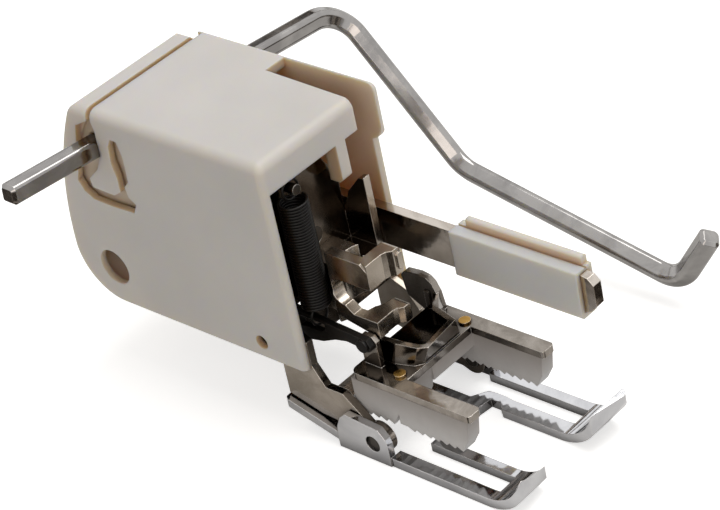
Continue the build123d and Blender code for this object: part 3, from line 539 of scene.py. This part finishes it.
# Painted shade: the pad darkens to warm grey towards the plate.
level = add_node(tree, "ShaderNodeSeparateXYZ", links={"Vector": place.outputs["Object"]})
painted_shade_rise = add_node(
    tree,
    "ShaderNodeMapRange",
    {"From Min": pad_low[2] + shade_start, "From Max": pad_high[2], "To Min": 0.0, "To Max": 0.7},
    {"Value": level.outputs["Z"]},
)
pad_tone_shaded = add_node(
    tree,
    "ShaderNodeMixRGB",
    {"Color2": colour("#8A8079")},
    {"Fac": painted_shade_rise.outputs["Result"], "Color1": tone.outputs["Color"]},
)
edge = add_node(tree, "ShaderNodeBevel", {"samples": edge_samples, "Radius": tooth_edge_r})
grain = add_node(
    tree,
    "ShaderNodeBump",
    {"Strength": 0.2, "Distance": dust_depth},
    {"Height": dust.outputs["Fac"], "Normal": edge.outputs["Normal"]},
)
rubber = add_node(
    tree,
    "ShaderNodeBsdfPrincipled",
    {"Roughness": 0.55, "IOR": 1.5},
    {"Base Color": pad_tone_shaded.outputs["Color"], "Normal": grain.outputs["Normal"]},
)
add_node(tree, "ShaderNodeOutputMaterial", links={"Surface": rubber.outputs[0]})
dress(nodes["feed_pad"], grey_rubber)

# Sole: steel sheet stamped with its open toe, polished before a hard chrome plate. Chrome is
# colder and clearer than the nickel beside it.
# Its third colour is the painted shade for its recesses.
sole_chrome = plated(
    "polished_chrome_plate",
    "#DEDEE0",
    "#CFCFD2",
    "#3A3734",
    recess_shade=0.8,
    reach=0.004,
    gloss=0.07,
    ripple=0.3,
)
dress(nodes["sole"], sole_chrome)

# Lifting lever: a pressed steel bar with turned-up edge, nickel plated like the frame. Painted
# shade darkens the web, and its edges are lightened by wear and painted highlight.
lever_nickel = plated(
    "lever_nickel_plate",
    "#D2C9BF",
    "#ADA398",
    "#564B40",
    recess_shade=0.6,
    reach=0.005,
    gloss=0.12,
    ripple=1.2,
)
dress(nodes["lifting_lever"], lever_nickel)

# Guide bar: half-hard steel strip bent to its U, brushed along and chrome plated, held by
# the tongue of the housing.
# Its third colour is the painted shade for its recesses.
bar_chrome = plated(
    "drawn_chrome_strip",
    "#ABA8A5",
    "#959290",
    "#3A3734",
    recess_shade=0.8,
    reach=0.004,
    gloss=0.12,
    ripple=0.4,
)
dress(nodes["guide_bar"], bar_chrome)

# Photographer's table: a plain pale floor under the sole, as wide as any view needs.
# The camera sees pure white, as in the picture, and the floor keeps the object's shadow.
floor_gap = 0.00005
floor_width = 6.0
floor_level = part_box("sole")[0][2] - floor_gap
bpy.ops.object.select_all(action="DESELECT")
bpy.ops.mesh.primitive_plane_add(size=floor_width, location=(0.0, 0.0, floor_level))
floor = bpy.context.active_object
floor.name = "table_floor"
table_white, tree = new_material("table_white")
rays = add_node(tree, "ShaderNodeLightPath")
bare = add_node(tree, "ShaderNodeBsdfDiffuse", {"Color": colour("#E9E8E6")})
glow = add_node(tree, "ShaderNodeEmission", {"Color": (1.0, 1.0, 1.0, 1.0), "Strength": 0.62})
lit = add_node(tree, "ShaderNodeAddShader", links={0: bare.outputs[0], 1: glow.outputs[0]})
direct = add_node(
    tree,
    "ShaderNodeMath",
    {"operation": "MAXIMUM"},
    {0: rays.outputs["Is Camera Ray"], 1: rays.outputs["Is Transmission Ray"]},
)
mixed = add_node(
    tree,
    "ShaderNodeMixShader",
    links={"Fac": direct.outputs[0], 1: bare.outputs[0], 2: lit.outputs[0]},
)
add_node(tree, "ShaderNodeOutputMaterial", links={"Surface": mixed.outputs[0]})
dress(floor, table_white)

# Studio surround: a soft pale room for the plastic, and plain white for what the camera and
# the bright metal see.
world = bpy.data.worlds.new("white_surround")
bpy.context.scene.world = world
world.use_nodes = True
tree = world.node_tree
tree.nodes.clear()
rays = add_node(tree, "ShaderNodeLightPath")
soft = add_node(tree, "ShaderNodeBackground", {"Color": colour("#F4F3F1"), "Strength": 0.46})
white = add_node(tree, "ShaderNodeBackground", {"Color": (1.0, 1.0, 1.0, 1.0), "Strength": 1.0})
direct = add_node(
    tree,
    "ShaderNodeMath",
    {"operation": "MAXIMUM"},
    {0: rays.outputs["Is Camera Ray"], 1: rays.outputs["Is Transmission Ray"]},
)
seen = add_node(
    tree,
    "ShaderNodeMath",
    {"operation": "MAXIMUM"},
    {0: direct.outputs[0], 1: rays.outputs["Is Glossy Ray"]},
)
mixed = add_node(
    tree,
    "ShaderNodeMixShader",
    links={"Fac": seen.outputs[0], 1: soft.outputs[0], 2: white.outputs[0]},
)
add_node(tree, "ShaderNodeOutputWorld", links={"Surface": mixed.outputs[0]})


# Lamps: one large soft box high on the right of the camera and a weak one on its left, so
# that the top is light and the left side a third darker, as in the picture.
def soft_box(name, place, target, size, watts, tint):
    """Adds a square soft box that faces a point."""
    bpy.ops.object.select_all(action="DESELECT")
    bpy.ops.object.light_add(type="AREA", location=place)
    lamp = bpy.context.active_object
    lamp.name = name
    lamp.data.shape = "SQUARE"
    lamp.data.size = size
    lamp.data.energy = watts
    lamp.data.color = colour(tint)[:3]
    lamp.rotation_euler = (Vector(target) - Vector(place)).to_track_quat("-Z", "Y").to_euler()
    return lamp


clamp_axis = (0.0, 0.0, 0.0)
soft_box("key_box", (0.14, -0.06, 0.46), clamp_axis, size=0.36, watts=1.35, tint="#FFFFFF")
soft_box("fill_box", (-0.40, -0.30, 0.20), clamp_axis, size=0.30, watts=0.40, tint="#FFF1E6")

# Dark cards: stained studio cards, two flat on the table and one standing behind the object,
# that give the plate its brown-black patches. Only gloss sees them, so they throw no shadow.
card_lift = 0.0003
card_brown, tree = new_material("card_brown")
place = add_node(tree, "ShaderNodeTexCoord")
stain = add_node(
    tree,
    "ShaderNodeTexNoise",
    {"Scale": 48.0, "Detail": 1.0, "Roughness": 0.5},
    {"Vector": place.outputs["Object"]},
)
tone = add_node(tree, "ShaderNodeValToRGB", links={"Fac": stain.outputs["Fac"]})
tone.color_ramp.elements[0].position = 0.50
tone.color_ramp.elements[1].position = 0.55
tone.color_ramp.elements[0].color = colour("#1E1814")
tone.color_ramp.elements[1].color = colour("#BDB3A8")
card = add_node(tree, "ShaderNodeBsdfDiffuse", links={"Color": tone.outputs["Color"]})
add_node(tree, "ShaderNodeOutputMaterial", links={"Surface": card.outputs[0]})
for card_name, card_place, card_turn, card_size in (
    ("card_front", (0.10, -0.165, floor_level + card_lift), (0.0, 0.0, 0.0), (0.40, 0.25)),
    ("card_left", (-0.145, 0.10, floor_level + card_lift), (0.0, 0.0, 0.0), (0.25, 0.40)),
    ("card_back", (0.22, 0.25, 0.115), (math.radians(65.0), 0.0, math.radians(-41.0)), (0.40, 0.06)),
):
    bpy.ops.object.select_all(action="DESELECT")
    bpy.ops.mesh.primitive_plane_add(size=1.0, location=card_place, rotation=card_turn)
    piece = bpy.context.active_object
    piece.name = card_name
    piece.scale = (card_size[0], card_size[1], 1.0)
    bpy.ops.object.transform_apply(location=True, rotation=True, scale=True)
    piece.visible_camera = False
    piece.visible_diffuse = False
    piece.visible_shadow = False
    piece.visible_transmission = False
    dress(piece, card_brown)

# Camera: a long lens above the operator's left shoulder, tilted a little, as in the picture.
camera_place = (-0.1790, -0.2019, 0.1817)
lens_length = 131.98
sensor_width = 36.0
bpy.ops.object.select_all(action="DESELECT")
bpy.ops.object.camera_add(location=camera_place)
camera = bpy.context.active_object
camera.name = "picture_camera"
view_azimuth = math.radians(-41.45)
view_elevation = math.radians(33.55)
view_roll = math.radians(-12.5)
looking = Vector(
    (
        -math.sin(view_azimuth) * math.cos(view_elevation),
        math.cos(view_azimuth) * math.cos(view_elevation),
        -math.sin(view_elevation),
    )
)
camera.rotation_mode = "QUATERNION"
camera.rotation_quaternion = looking.to_track_quat("-Z", "Y") @ Quaternion((0.0, 0.0, 1.0), view_roll)
camera.data.lens = lens_length
camera.data.sensor_width = sensor_width
camera.data.clip_start = 0.01
bpy.context.scene.camera = camera
bpy.context.scene.view_settings.view_transform = "Standard"
